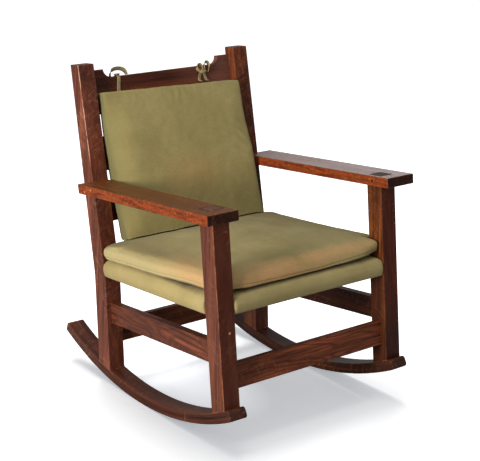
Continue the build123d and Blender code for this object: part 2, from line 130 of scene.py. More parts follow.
# Node helpers
class Graph:
    """The nodes of a new material or world."""

    def __init__(self, name, owners=bpy.data.materials):
        self.owner = owners.new(name)
        self.owner.use_nodes = True
        self.tree = self.owner.node_tree
        self.tree.nodes.clear()

    def add(self, kind, inputs=(), **settings):
        """A shader node; its inputs are given by name or number, as values or as sockets."""
        node = self.tree.nodes.new("ShaderNode" + kind)
        for key, value in settings.items():
            setattr(node, key, value)
        for key, value in dict(inputs).items():
            if isinstance(value, bpy.types.NodeSocket):
                self.tree.links.new(value, node.inputs[key])
            else:
                node.inputs[key].default_value = value
        return node

    def place(self):
        """The point's own coordinates in the rest pose."""
        return self.add("TexCoord").outputs["Object"]

    def parts(self, vector):
        return self.add("SeparateXYZ", {"Vector": vector}).outputs

    def math(self, operation, a, b=0.0, clamp=False):
        return self.add("Math", {0: a, 1: b}, operation=operation, use_clamp=clamp).outputs[0]

    def times(self, a, b):
        return self.math("MULTIPLY", a, b)

    def vector(self, operation, a, b=(0, 0, 0)):
        node = self.add("VectorMath", {0: a, 1: b}, operation=operation)
        return node.outputs["Value" if operation in ("LENGTH", "DOT_PRODUCT", "DISTANCE") else "Vector"]

    def noise(self, vector, scale, detail, rough, distortion=0.0):
        inputs = {"Vector": vector, "Scale": scale, "Detail": detail, "Roughness": rough, "Distortion": distortion}
        return self.add("TexNoise", inputs).outputs["Fac"]

    def streaks(self, vector, per_metre, detail, rough, distortion=0.0):
        """Noise with a scale of its own along each axis."""
        return self.noise(self.vector("MULTIPLY", vector, per_metre), 1.0, detail, rough, distortion)

    def ramp(self, factor, *stops):
        node = self.add("ValToRGB", {"Fac": factor})
        elements = node.color_ramp.elements
        while len(elements) < len(stops):
            elements.new(0.5)
        for element, (position, colour) in zip(elements, stops):
            element.position = position
            element.color = (*colour, 1)
        return node.outputs["Color"]

    def span(self, value, low, high, to_low=0.0, to_high=1.0):
        names = ("Value", "From Min", "From Max", "To Min", "To Max")
        inputs = dict(zip(names, (value, low, high, to_low, to_high)))
        return self.add("MapRange", inputs, clamp=True).outputs["Result"]

    def mix(self, factor, *colours):
        """A mix of two colours, each a socket or linear RGB; they go to the node's colour inputs 6 and 7."""
        a, b = (c if isinstance(c, bpy.types.NodeSocket) else (*c, 1) for c in colours)
        return self.add("Mix", {"Factor": factor, 6: a, 7: b}, data_type="RGBA").outputs[2]

    def tint(self, colour, mask, amount, shade):
        """Mixes an sRGB shade into a colour where a mask says so."""
        return self.mix(self.times(mask, amount), colour, linear(*shade))

    def bump(self, height, strength, distance, **normal):
        inputs = {"Height": height, "Strength": strength, "Distance": distance, **normal}
        return self.add("Bump", inputs).outputs["Normal"]

    def finish(self, colour, roughness, normal, **fixed):
        inputs = {"Base Color": colour, "Roughness": roughness, "Normal": normal}
        inputs.update({key.replace("_", " "): value for key, value in fixed.items()})
        shader = self.add("BsdfPrincipled", inputs)
        self.add("OutputMaterial", {"Surface": shader.outputs[0]})
        return self.owner


def linear(r, g, b):
    """An sRGB colour of 0 to 255 as linear light."""
    return tuple((v / 255 / 12.92) if v <= 10 else ((v / 255 + 0.055) / 1.055) ** 2.4 for v in (r, g, b))


def blend(first, second, share):
    return tuple((1 - share) * a + share * b for a, b in zip(first, second))


# Masks, by directions and points of the upright frame
NEAR = (-1, 0, 0)
AHEAD = (0, -1, 0)
ABOVE = (0, 0, 1)
FACING_FROM = (0.6, 0.9)


def facing(g, vector):
    """How far a flat face looks one way."""
    true = g.add("NewGeometry").outputs["True Normal"]
    return g.span(g.vector("DOT_PRODUCT", true, tuple(direction(vector))), *FACING_FROM)


def spot(g, centre, radius):
    """A small round mark."""
    gone = g.vector("DISTANCE", g.place(), tuple(rest([centre])[0]))
    return g.span(gone, radius * 0.6, radius, 1.0, 0.0)


# Wood: its patterns are per metre, across and along the grain
BROAD_GRAIN = (24, 24, 1.3)
FINE_GRAIN = (150, 150, 4)
PORES = (850, 850, 20)
FLAKES = (30, 30, 130)
FLAKE_PATCHES = (14, 14, 5)
FIGURE = (15, 15, 2.4)
FIGURE_RINGS = 75.0
WEAR_PATCHES = (60, 60, 22)
WEAR_REACH = 0.0045
WEAR_AMOUNT = 0.85
FLAKE_SLANT = 0.45
PORE_SHADE = (18, 8, 5)
ROCKER_CENTRE = (0, 0.3762, 1.0699)
ROCKER_RADIUS = 1.07


def grain_space(g, axis, offset):
    """Coordinates whose Z runs along the grain."""
    space = g.place()
    turn = {
        "up": (-TILT, 0, 0), "lean": (-TILT - LEAN, 0, 0), "across": (0, math.pi / 2, 0),
        "along": (math.pi / 2, 0, 0), "arc": (0, 0, 0),
    }[axis]
    if axis == "arc":
        parts = g.parts(space)
        centre = rest([ROCKER_CENTRE])[0]
        y = g.math("SUBTRACT", parts[1], centre[1])
        z = g.math("SUBTRACT", parts[2], centre[2])
        radius = g.math("SQRT", g.math("ADD", g.times(y, y), g.times(z, z)))
        along = g.times(g.math("ARCTAN2", y, g.times(z, -1.0)), ROCKER_RADIUS)
        space = g.add("CombineXYZ", {"X": parts[0], "Y": radius, "Z": along}).outputs[0]
    return g.add("Mapping", {"Vector": space, "Location": offset, "Rotation": turn}).outputs[0]


def ray_flakes(g, space):
    """The short slanting flakes of quarter-sawn oak, in patches."""
    parts = g.parts(space)
    slant = g.math("SUBTRACT", parts[2], g.times(g.math("ADD", parts[0], parts[1]), FLAKE_SLANT))
    slanted = g.add("CombineXYZ", {"X": parts[0], "Y": parts[1], "Z": slant}).outputs[0]
    flake = g.streaks(slanted, FLAKES, 2.5, 0.5, 1.2)
    where = g.streaks(space, FLAKE_PATCHES, 3.0, 0.5)
    return g.times(g.span(flake, 0.56, 0.63), g.span(where, 0.42, 0.56))


def worn_arrises(g, space):
    """Where the stain is rubbed off the arrises."""
    rounded = g.add("Bevel", {"Radius": WEAR_REACH}, samples=6).outputs[0]
    flat = g.add("NewGeometry").outputs["Normal"]
    edge = g.math("SUBTRACT", 1.0, g.vector("DOT_PRODUCT", rounded, flat))
    patches = g.streaks(space, WEAR_PATCHES, 4.0, 0.7)
    return g.times(g.span(edge, 0.03, 0.16), g.span(patches, 0.40, 0.60))


def oak(
    name, axis, offset, dark=(42, 17, 10), light=(106, 54, 32), worn=(172, 108, 68), rays=0.2, figure=0.0, extra=None
):
    """Dark stained oak with long grain, pores, ray flakes and worn arrises."""
    g = Graph(name)
    space = grain_space(g, axis, offset)
    broad = g.streaks(space, BROAD_GRAIN, 5.0, 0.6, 0.8)
    fine = g.streaks(space, FINE_GRAIN, 5.0, 0.65, 0.3)
    pores = g.span(g.streaks(space, PORES, 2.0, 0.6), 0.60, 0.70)
    deep, pale, rubbed = linear(*dark), linear(*light), linear(*worn)
    tone = g.math("ADD", g.times(broad, 0.55), g.times(fine, 0.45))
    stops = (0.32, deep), (0.48, blend(deep, pale, 0.45)), (0.58, pale), (0.70, blend(pale, rubbed, 0.55))
    colour = g.tint(g.ramp(tone, *stops), ray_flakes(g, space), rays, worn)
    colour = g.tint(colour, pores, 0.6, PORE_SHADE)
    if figure:
        rings = g.math("SINE", g.times(g.streaks(space, FIGURE, 2.0, 0.45), FIGURE_RINGS))
        colour = g.tint(colour, g.span(rings, 0.0, 0.8), figure, dark)
    if extra is not None:
        colour = extra(g, colour)
    colour = g.tint(colour, worn_arrises(g, space), WEAR_AMOUNT, worn)
    roughness = g.span(g.math("ADD", broad, g.times(pores, 0.5)), 0.3, 1.2, 0.36, 0.62)
    normal = g.bump(g.math("SUBTRACT", g.times(fine, 0.35), pores), 0.3, 0.0004)
    return g.finish(colour, roughness, normal, Specular_IOR_Level=0.16)


def streaky(g, colour, mask, per_metre, looks, amounts, shade):
    """Tints a colour in streaks where a mask says so; amounts are what the streaks' noise spans."""
    lines = g.span(g.streaks(g.place(), per_metre, 4.0, *looks), *amounts)
    return g.tint(colour, mask, lines, shade)


# Marks of single members, measured in the photograph
TENON_AT = (0.2865, 0.033, 0.6316)
TENON_HALF = (0.0212, 0.0247, 1.0)
TENON_JOINT = 0.0040
ARM_FRONT = float(rest([(0, -0.0349, 0.6177)])[0][1])
ARM_END = (ARM_FRONT + 0.0015, ARM_FRONT + 0.0045)
ARM_NAILS = [(-0.348, 0.580, 0.6133), (-0.348, 0.545, 0.6223)]
NAIL_RADIUS = 0.0035
ARM_EDGE = [
    ((40, 5, 120), (0.6, 0.8), (0.36, 0.62, 0.15, 0.75), (146, 62, 24)),
    ((120, 70, 190), (0.7, 0.6), (0.50, 0.66, 0.0, 0.5), (196, 100, 42)),
    ((60, 14, 90), (0.6, 0.4), (0.50, 0.64, 0.0, 0.65), (74, 28, 16)),
]
LEG_MARKS = [((-0.2697, 0.0, 0.5723), 0.0034, (150, 84, 56)), ((-0.277, 0.0, 0.3057), 0.0042, (196, 160, 130))]
ARRIS_WIDTH = 0.0024
POST_LOW = (0.84, 0.74)
POST_WEAR_FROM = (0.66, 0.70)
FAR_LEG_BRIGHT = 0.47
FAR_LEG_REACH = (0.044, 0.11)
FAR_LEG_PAINTED_SHADE = (0.36, 0.20)


def tenon_end(g, colour, side, shade, amount):
    """The face of a front leg's tenon or of the arm's top round it, with the dark joint between them."""
    top = facing(g, ABOVE)
    colour = g.tint(colour, top, amount, shade)
    x, y, z = TENON_AT
    gone = g.vector("ABSOLUTE", g.vector("SUBTRACT", g.place(), tuple(rest([(side * x, y, z)])[0])))
    parts = g.parts(g.vector("SUBTRACT", gone, TENON_HALF))
    distance = g.math("ABSOLUTE", g.math("MAXIMUM", parts[0], parts[1]))
    line = g.span(distance, TENON_JOINT * 0.5, TENON_JOINT, 1.0, 0.0)
    return g.tint(colour, g.times(line, top), 0.92, (16, 8, 6))


def arm_marks(side):
    """An arm's browner top, dark front end and orange, flecked edge, and the nails in the near arm."""
    def extra(g, colour):
        colour = tenon_end(g, colour, side, (122, 76, 34), 0.42)
        end = g.span(g.parts(g.place())[1], *ARM_END, 1.0, 0.0)
        colour = g.tint(colour, g.times(end, facing(g, AHEAD)), 0.72, (24, 9, 5))
        edge = facing(g, NEAR)
        for pattern in ARM_EDGE:
            colour = streaky(g, colour, edge, *pattern)
        for nail in ARM_NAILS if side < 0 else ():
            colour = g.tint(colour, spot(g, nail, NAIL_RADIUS), 0.8, (200, 150, 100))
        return colour
    return extra


def streaked(shade, amount):
    """Golden or orange streaks on the faces that look to the near side."""
    def extra(g, colour):
        return streaky(g, colour, facing(g, NEAR), (130, 130, 3.5), (0.6, 0.6), (0.42, 0.60, 0.0, amount), shade)
    return extra


def arris_wear_and_highlight(g, colour, point, away, shade, amount):
    """A pale line along a near arris, partly wear and partly a painted highlight, given by a point on it and the way
    its front face looks.
    """
    step = g.vector("SUBTRACT", g.place(), tuple(point))
    across = g.math("ABSOLUTE", g.parts(step)[0])
    depth = g.math("ABSOLUTE", g.vector("DOT_PRODUCT", step, tuple(away)))
    line = g.span(g.math("MAXIMUM", across, depth), ARRIS_WIDTH * 0.5, ARRIS_WIDTH, 1.0, 0.0)
    return streaky(g, colour, line, (90, 90, 26), (0.7,), (0.40, 0.58, 0.0, amount), shade)


def near_post(g, colour):
    """A deeper front with orange figure low down, and a front arris above the bend that is worn and has a painted
    highlight.
    """
    height = g.parts(g.place())[2]
    front = facing(g, AHEAD)
    colour = g.tint(colour, front, 0.35, (70, 30, 20))
    low = g.times(g.span(height, *POST_LOW), front)
    colour = streaky(g, colour, low, (60, 60, 9), (0.6, 1.5), (0.50, 0.62, 0.0, 0.25), (146, 66, 32))
    point = back_to_rest([(-POST_OUTER, 0, 0)])[0]
    # The pale arris line is partly wear and partly a painted highlight
    worn = arris_wear_and_highlight(g, colour, point, back_axis(*AHEAD), (214, 172, 148), 0.75)
    return g.mix(g.span(height, *POST_WEAR_FROM), colour, worn)


def near_leg(g, colour):
    """A deeper, redder front, a streaked side, two marks and an arris that is worn and has a painted highlight."""
    colour = g.tint(colour, facing(g, AHEAD), 0.60, (84, 34, 14))
    colour = streaked((132, 72, 46), 0.30)(g, colour)
    for centre, radius, shade in LEG_MARKS:
        colour = g.tint(colour, spot(g, centre, radius), 0.85, shade)
    colour = tenon_end(g, colour, -1, (104, 70, 52), 0.7)
    return arris_wear_and_highlight(g, colour, rest([(-LEG_OUTER, 0, 0)])[0], direction(AHEAD), (188, 118, 78), 0.5)


def far_leg(g, colour):
    """A redder front, and an inner face with orange streaks above the seat, darker low down as painted shade."""
    height = g.parts(g.place())[2]
    colour = g.tint(colour, facing(g, AHEAD), 0.45, (84, 32, 18))
    bright = streaked((156, 88, 38), 0.5)(g, colour)
    gone = g.math("ABSOLUTE", g.math("SUBTRACT", height, FAR_LEG_BRIGHT))
    colour = g.mix(g.span(gone, *FAR_LEG_REACH, 1.0, 0.3), colour, bright)
    # Painted shade: darker low down, under the seat
    colour = g.mix(g.span(height, *FAR_LEG_PAINTED_SHADE, 0.0, 0.55), colour, linear(34, 17, 12))
    return tenon_end(g, colour, 1, (40, 26, 20), 0.75)


def crest_painted_sheen(g, colour):
    """The crest rail's left part is paler and greyer, a painted sheen, and its right end darker."""
    across = g.parts(g.place())[0]
    colour = g.mix(g.span(across, -0.10, -0.25, 0.0, 0.5), colour, linear(40, 16, 9))
    # Painted sheen: paler and greyer towards the left
    return g.mix(g.span(across, 0.02, 0.20, 0.0, 0.42), colour, linear(128, 84, 72))


# Each member's grain direction, the offset of its pattern, and its looks
PLUM = dict(dark=(44, 22, 18), light=(104, 60, 46), worn=(170, 116, 90))
PLAIN = dict(dark=(120, 84, 50), light=(176, 134, 88), worn=(190, 150, 104))
PEG = dict(dark=(40, 20, 14), light=(74, 40, 27), worn=(88, 50, 34))
NEAR_ROCKER = dict(dark=(36, 18, 13), light=(88, 49, 36), worn=(150, 92, 64), rays=0.4)
WOODS = {
    "leg_front_left": ("up", (1.3, 0.2, 3.1), dict(figure=0.4, extra=far_leg)),
    "leg_front_right": ("up", (4.1, 2.2, 0.3), dict(PLUM, extra=near_leg)),
    "post_rear_left": ("lean", (2.7, 1.9, 1.2), dict(extra=streaked((150, 84, 44), 0.45))),
    "post_rear_right": ("lean", (7.3, 0.7, 5.2), dict(PLUM, light=(122, 68, 50), rays=0.42, extra=near_post)),
    "arm_left": ("along", (3.1, 5.2, 0.9), dict(worn=(198, 106, 52), extra=arm_marks(1))),
    "arm_right": ("along", (0.4, 6.6, 2.3), dict(light=(98, 48, 27), worn=(232, 144, 78), extra=arm_marks(-1))),
    # Darker than the near rocker: painted shade on the far side
    "rocker_left": ("arc", (5.5, 1.1, 0.0), dict(dark=(26, 12, 9), light=(70, 39, 28))),
    "rocker_right": ("arc", (2.2, 4.4, 7.0), NEAR_ROCKER),
    # Darker than the near side stretcher: painted shade on the far side
    "stretcher_side_left": ("along", (8.1, 3.3, 1.6), dict(dark=(32, 14, 9), light=(82, 42, 27))),
    "stretcher_side_right": ("along", (6.2, 0.8, 4.4), dict(dark=(50, 24, 16), light=(130, 71, 50), figure=0.45)),
    "stretcher_front": ("across", (1.1, 7.1, 2.0), dict(dark=(48, 21, 13), light=(156, 82, 50), figure=0.5)),
    "stretcher_rear": ("across", (3.9, 2.6, 8.0), dict(dark=(50, 22, 14), light=(122, 66, 42))),
    "crest_rail": ("across", (0.7, 3.5, 6.1), dict(rays=0.12, extra=crest_painted_sheen)),
    "back_slat_upper": ("across", (5.1, 0.9, 3.8), {}),
    "back_slat_lower": ("across", (2.4, 6.0, 1.1), {}),
}
HIDDEN_WOODS = [
    (("seat_rail_front", "seat_rail_rear"), "rail_wood_across", "across", (4.0, 1.0, 2.5), PLAIN),
    (("seat_rail_side_left", "seat_rail_side_right"), "rail_wood_along", "along", (1.0, 5.0, 7.5), PLAIN),
    (("arm_pin_left",), "pin_wood_left", "across", (9.0, 2.0, 0.5), PEG),
    (("arm_pin_right",), "pin_wood_right", "across", (9.4, 2.6, 1.5), PEG),
    (("rocker_dowels",), "dowel_wood_up", "up", (3.0, 8.0, 0.5), PLAIN),
    (("arm_dowels",), "dowel_wood_along", "along", (3.6, 8.3, 0.9), PLAIN),
]


def dress(obj, material):
    obj.data.materials.clear()
    obj.data.materials.append(material)


def dress_wood():
    for name, (axis, offset, looks) in WOODS.items():
        dress(nodes[name], oak("oak_" + name, axis, offset, **looks))
    for names, *recipe, looks in HIDDEN_WOODS:
        material = oak(*recipe, **looks)
        for name in names:
            dress(nodes[name], material)


# Cloth
WEAVE_PITCH = 0.0011
TAPE_PITCH = 0.0016
WEBBING_PITCH = 0.0024
BURLAP_WAVES = 2400.0
THREAD_SHADE = (70, 62, 36)


def cloth(name, base, light, spots=(), faces=()):
    """Plain woven cotton with a fine weave in its bump, stained or faded in spots, with painted shadow in some spots
    and painted light and shade on faces that look one way.
    """
    g = Graph(name)
    place = g.place()
    fading = g.noise(place, 17.0, 5.0, 0.62)
    colour = g.mix(g.span(g.noise(place, 5.0, 4.0, 0.6, 0.3), 0.35, 0.68), linear(*base), linear(*light))
    # Painted light and painted shade on the faces that look one way
    for way, low, shade, amount in faces:
        smooth = g.add("NewGeometry").outputs["Normal"]
        turned = g.span(g.vector("DOT_PRODUCT", smooth, tuple(direction(way))), low, 0.95, 0.0, amount)
        colour = g.mix(turned, colour, linear(*shade))
    for centre, radii, amount, shade in spots:
        gone = g.vector("LENGTH", g.vector("DIVIDE", g.vector("SUBTRACT", place, tuple(centre)), tuple(radii)))
        uneven = g.span(fading, 0.35, 0.7, 0.0, 0.35)
        patch = g.math("SUBTRACT", g.span(gone, 0.25, 1.25, 1.0, 0.0), uneven, clamp=True)
        colour = g.tint(colour, patch, amount, shade)
    slubs = [g.streaks(place, per_metre, 2.0, 0.5) for per_metre in ((60, 900, 900), (900, 900, 60))]
    threads = g.math("ADD", g.times(slubs[0], 0.5), g.times(slubs[1], 0.5))
    colour = g.mix(g.span(threads, 0.35, 0.65, 0.25, 0.0), colour, linear(*THREAD_SHADE))
    waves = [g.math("SINE", g.times(part, 2 * math.pi / WEAVE_PITCH)) for part in g.parts(place)]
    pairs = [g.times(waves[i], waves[j]) for i, j in ((0, 1), (1, 2), (0, 2))]
    weave = g.math("ADD", pairs[0], g.math("ADD", pairs[1], pairs[2]))
    soft = g.bump(g.noise(place, 38.0, 4.0, 0.55, 0.4), 0.22, 0.004)
    normal = g.bump(g.math("ADD", g.times(weave, 0.3), threads), 0.35, 0.0004, Normal=soft)
    roughness = g.span(fading, 0.3, 0.7, 0.82, 0.95)
    return g.finish(colour, roughness, normal, Sheen_Weight=0.08, Sheen_Roughness=0.5, Specular_IOR_Level=0.1)


def woven(name, dark, light, along, pitch):
    """A ribbed tape or webbing; its length runs along axis 0 or 1 and its ribs across."""
    g = Graph(name)
    place = g.place()
    parts = g.parts(place)
    turns = 2 * math.pi / pitch
    rib = g.math("SINE", g.times(parts[along], turns))
    thread = g.math("SINE", g.times(parts[1 - along], turns * 1.4))
    uneven = g.noise(place, 90.0, 4.0, 0.6)
    colour = g.mix(g.span(uneven, 0.3, 0.7), linear(*dark), linear(*light))
    colour = g.mix(g.span(rib, -1.0, 0.2, 0.45, 0.0), colour, linear(*(0.55 * v for v in dark)))
    normal = g.bump(g.math("ADD", rib, g.times(thread, 0.4)), 0.5, 0.0003)
    return g.finish(colour, g.span(uneven, 0.3, 0.7, 0.75, 0.95), normal, Specular_IOR_Level=0.2)


def burlap(name):
    """The coarse stuff round the seat's padding."""
    g = Graph(name)
    place = g.place()
    waves = [g.math("SINE", g.times(part, BURLAP_WAVES)) for part in g.parts(place)[:2]]
    uneven = g.noise(place, 60.0, 5.0, 0.6)
    colour = g.mix(g.span(uneven, 0.3, 0.7), linear(108, 86, 58), linear(168, 142, 104))
    normal = g.bump(g.times(waves[0], waves[1]), 0.5, 0.0005)
    return g.finish(colour, g.span(uneven, 0.3, 0.7, 0.8, 0.98), normal, Specular_IOR_Level=0.2)


# Mesh helpers
def new_object(name, mesh, material):
    obj = placed(name, mesh)
    dress(obj, material)
    for face in mesh.polygons:
        face.use_smooth = True
    return obj


def object_of(name, bm, material):
    """An object with the faces of a bmesh, which is freed."""
    mesh = bpy.data.meshes.new(name)
    bm.to_mesh(mesh)
    bm.free()
    return new_object(name, mesh, material)


def coordinates(obj, kind="co"):
    vertices = obj.data.vertices
    flat = np.zeros(len(vertices) * 3)
    vertices.foreach_get(kind, flat)
    return flat.reshape(-1, 3)


def normals(obj):
    return coordinates(obj, "normal")


def move_to(obj, points):
    obj.data.vertices.foreach_set("co", np.asarray(points, float).ravel())
    obj.data.update()


def apply_modifier(obj, kind, **settings):
    modifier = obj.modifiers.new(kind.lower(), kind)
    for key, value in settings.items():
        setattr(modifier, key, value)
    bpy.context.view_layer.objects.active = obj
    obj.select_set(True)
    bpy.ops.object.modifier_apply(modifier=modifier.name)
    obj.select_set(False)


def subdivide(obj):
    apply_modifier(obj, "SUBSURF", levels=1, render_levels=1)


def smooth_step(x):
    x = np.clip(x, 0.0, 1.0)
    return x * x * (3 - 2 * x)


def bell(x, width):
    return np.exp(-((x / width) ** 2))


def ripple(points, scale, seed):
    """Smooth noise from -1 to 1 at each point."""
    shift = Vector((seed * 3.1, seed * 1.7, seed * 2.3))
    return np.array([noise.noise(Vector(p) * scale + shift) for p in points])


def remeshed(obj, size, smoothing, shrink=0.0):
    """Even quads of one size, smoothed and drawn in by a little all round."""
    apply_modifier(obj, "REMESH", mode="VOXEL", voxel_size=size)
    apply_modifier(obj, "SMOOTH", factor=0.5, iterations=smoothing)
    move_to(obj, coordinates(obj) - shrink * normals(obj))


def swell(obj, pressure, cap, frames, pins=None, fullness=0.0):
    """Cloth simulation of a closed skin under pressure, with pinned points and a cap on the travel."""
    before = coordinates(obj)
    modifier = obj.modifiers.new("cloth", "CLOTH")
    settings = modifier.settings
    settings.use_pressure = True
    settings.uniform_pressure_force = pressure
    settings.effector_weights.gravity = 0.0
    settings.quality = 5
    settings.shrink_min = -fullness
    settings.bending_stiffness = 6.0
    if pins is not None:
        group = obj.vertex_groups.new(name="seam")
        group.add([int(i) for i in pins], 1.0, "REPLACE")
        settings.vertex_group_mass = "seam"
    modifier.point_cache.frame_start = 1
    modifier.point_cache.frame_end = frames
    for number in range(1, frames + 1):
        scene.frame_set(number)
    done = obj.evaluated_get(bpy.context.evaluated_depsgraph_get())
    after = coordinates(done)
    obj.modifiers.remove(modifier)
    scene.frame_set(1)
    step = after - before
    length = np.linalg.norm(step, axis=1, keepdims=True)
    move_to(obj, before + step * np.minimum(1.0, cap / np.maximum(length, 1e-9)))


def keep_off_legs(p, gap):
    """Pushes points of the upright frame out of the front legs, the shortest way."""
    side, rear = LEG_INNER - gap, LEG_DEPTH + gap
    ax = np.abs(p[:, 0])
    inside = (ax > side) & (p[:, 1] < rear)
    by_side = ax - side < rear - p[:, 1]
    go_x, go_y = inside & by_side, inside & ~by_side
    p[go_x, 0] = np.sign(p[go_x, 0]) * side
    p[go_y, 1] = rear
    return p


def stands_for(obj, node, body):
    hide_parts(node)
    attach(obj, body)


def soft_piece(obj, node, body):
    stands_for(obj, node, body)


# Fixed seat
COVER_GAP = 0.001
COVER_FRONT = 0.003
COVER_SIDE = 0.3095
COVER_REAR_SIDE = 0.2985
COVER_SHOULDER = 0.5895
COVER_REAR = 0.6245
COVER_LOW = 0.349
COVER_PROUD = 0.0015
COVER_LOW_ROUND = 0.006
COVER_HIGH_ROUND = 0.019
COVER_BULGE = 0.0050
BULGE_HEIGHT = 0.373
RIM_WIDTH = 0.019
COVER_THICK = 0.0012
CLEAR = 0.0006


def seat_plan(inset):
    """The fixed seat's outline in the upright frame, drawn in by an inset."""
    leg, post, behind_leg = LEG_INNER - COVER_GAP, POST_INNER - COVER_GAP, LEG_DEPTH + COVER_GAP
    left = [
        (leg - inset, COVER_FRONT + inset), (leg - inset, behind_leg + inset),
        (COVER_SIDE - inset, behind_leg + inset), (COVER_REAR_SIDE - inset, COVER_SHOULDER - inset),
        (post - inset, COVER_SHOULDER - inset), (post - inset, COVER_REAR - inset),
    ]
    return np.array(left + [(-x, y) for x, y in reversed(left)])


def nearest_on(outline, points):
    """The nearest point of a closed outline to each point of the plan."""
    best = np.full(len(points), np.inf)
    found = np.zeros((len(points), 2))
    for a, b in zip(outline, np.roll(outline, -1, axis=0)):
        share = np.clip(((points - a) @ (b - a)) / ((b - a) @ (b - a)), 0, 1)
        foot = a + share[:, None] * (b - a)
        gap = np.linalg.norm(points - foot, axis=1)
        closer = gap < best
        best[closer] = gap[closer]
        found[closer] = foot[closer]
    return found


def within(outline, points):
    """Whether each point of the plan lies in a closed outline."""
    inside = np.zeros(len(points), bool)
    for (ax, ay), (bx, by) in zip(outline, np.roll(outline, -1, axis=0)):
        crosses = (ay > points[:, 1]) != (by > points[:, 1])
        reach = ax + (points[:, 1] - ay) * (bx - ax) / (by - ay if by != ay else 1e-12)
        inside ^= crosses & (points[:, 0] < reach)
    return inside


def open_underside(obj):
    """Removes the skin's underside within the turned-in rim, and evens the rim's edge."""
    rim = seat_plan(RIM_WIDTH)
    mesh = bmesh.new()
    mesh.from_mesh(obj.data)
    centres = np.array([f.calc_center_median() for f in mesh.faces])
    down = np.array([f.normal.z < -0.5 for f in mesh.faces])
    gone = down & within(rim, centres[:, :2])
    bmesh.ops.delete(mesh, geom=[f for f, out in zip(mesh.faces, gone) if out], context="FACES")
    edge = [v for v in mesh.verts if v.is_boundary]
    for v, foot in zip(edge, nearest_on(rim, np.array([v.co[:2] for v in edge]))):
        v.co.x, v.co.y = foot
    mesh.to_mesh(obj.data)
    mesh.free()


def rolled_prism(name, plan, material):
    """A flat body over a plan, with rounded rims above and below."""
    bm = bmesh.new()
    floor, lid = ([bm.verts.new((x, y, z)) for x, y in plan] for z in (COVER_LOW, SEAT_TOP))
    bm.faces.new(list(reversed(floor)))
    bm.faces.new(lid)
    for i in range(len(plan)):
        j = (i + 1) % len(plan)
        bm.faces.new((floor[i], floor[j], lid[j], lid[i]))
    bmesh.ops.recalc_face_normals(bm, faces=bm.faces)
    for level, rounding in ((SEAT_TOP, COVER_HIGH_ROUND), (COVER_LOW, COVER_LOW_ROUND)):
        rim = [e for e in bm.edges if all(abs(v.co.z - level) < 1e-5 for v in e.verts)]
        bmesh.ops.bevel(bm, geom=rim, offset=rounding, offset_type="OFFSET", segments=6, profile=0.5, affect="EDGES")
    return object_of(name, bm, material)


def make_seat_cover(material):
    """The tight cover of the fixed seat: bulging sides, rolled rims and an open underside."""
    obj = rolled_prism("fixed_seat_cover", seat_plan(-COVER_PROUD), material)
    remeshed(obj, size=0.005, smoothing=5)
    p = coordinates(obj)
    out = normals(obj)
    side = 1 - np.abs(out[:, 2])
    p += out * (0.0010 * ripple(p, 15.0, 7) * side)[:, None]
    middle = bell(p[:, 2] - BULGE_HEIGHT, 0.016) * np.clip(side * 1.5, 0, 1)
    p += out * (COVER_BULGE * middle)[:, None]
    p[:, 2] = np.clip(p[:, 2], COVER_LOW, SEAT_TOP)
    p = keep_off_legs(p, CLEAR)
    rear = (p[:, 1] > BEND_Y - CLEAR) & (np.abs(p[:, 0]) > POST_INNER - CLEAR)
    p[rear, 1] = BEND_Y - CLEAR
    move_to(obj, p)
    open_underside(obj)
    subdivide(obj)
    apply_modifier(obj, "SOLIDIFY", thickness=COVER_THICK, offset=-1.0)
    move_to(obj, rest(coordinates(obj)))
    soft_piece(obj, "seat_cover", "frame")


def make_padding(material):
    """The seat's padding, a little uneven."""
    obj = new_object("fixed_seat_padding", nodes["seat_padding"].data.copy(), material)
    remeshed(obj, size=0.007, smoothing=4, shrink=0.0015)
    p = coordinates(obj)
    p += normals(obj) * (0.0005 * ripple(p, 30.0, 4))[:, None]
    move_to(obj, p)
    soft_piece(obj, "seat_padding", "frame")


# Seat cushion: its seam, its drooping front lip, and its gaps to the fixed seat and the legs
SEAM_HEIGHT = 0.015
SEAM_WIDTH = 0.0020
SEAM_DEPTH = 0.0022
PUCKER_DEPTH = 0.0013
FOLD_DEPTH = 0.0010
LONG_FOLD_DEPTH = 0.0009
LIP_X = [-0.26, -0.18, -0.06, 0.04, 0.13, 0.20, 0.26]
LIP_Z = [0.003, -0.002, -0.006, -0.007, -0.002, 0.006, 0.014]
LIP_DEPTH = 0.085
LIP_HEIGHT = 0.050
LIP_FORWARD = 0.0120
NEAR_OVERHANG = 0.019
SEAT_ROUND = 0.020
FRONT_GAP = 0.0086
SIDE_GAP = 0.0042
LEG_GAP = 0.0012


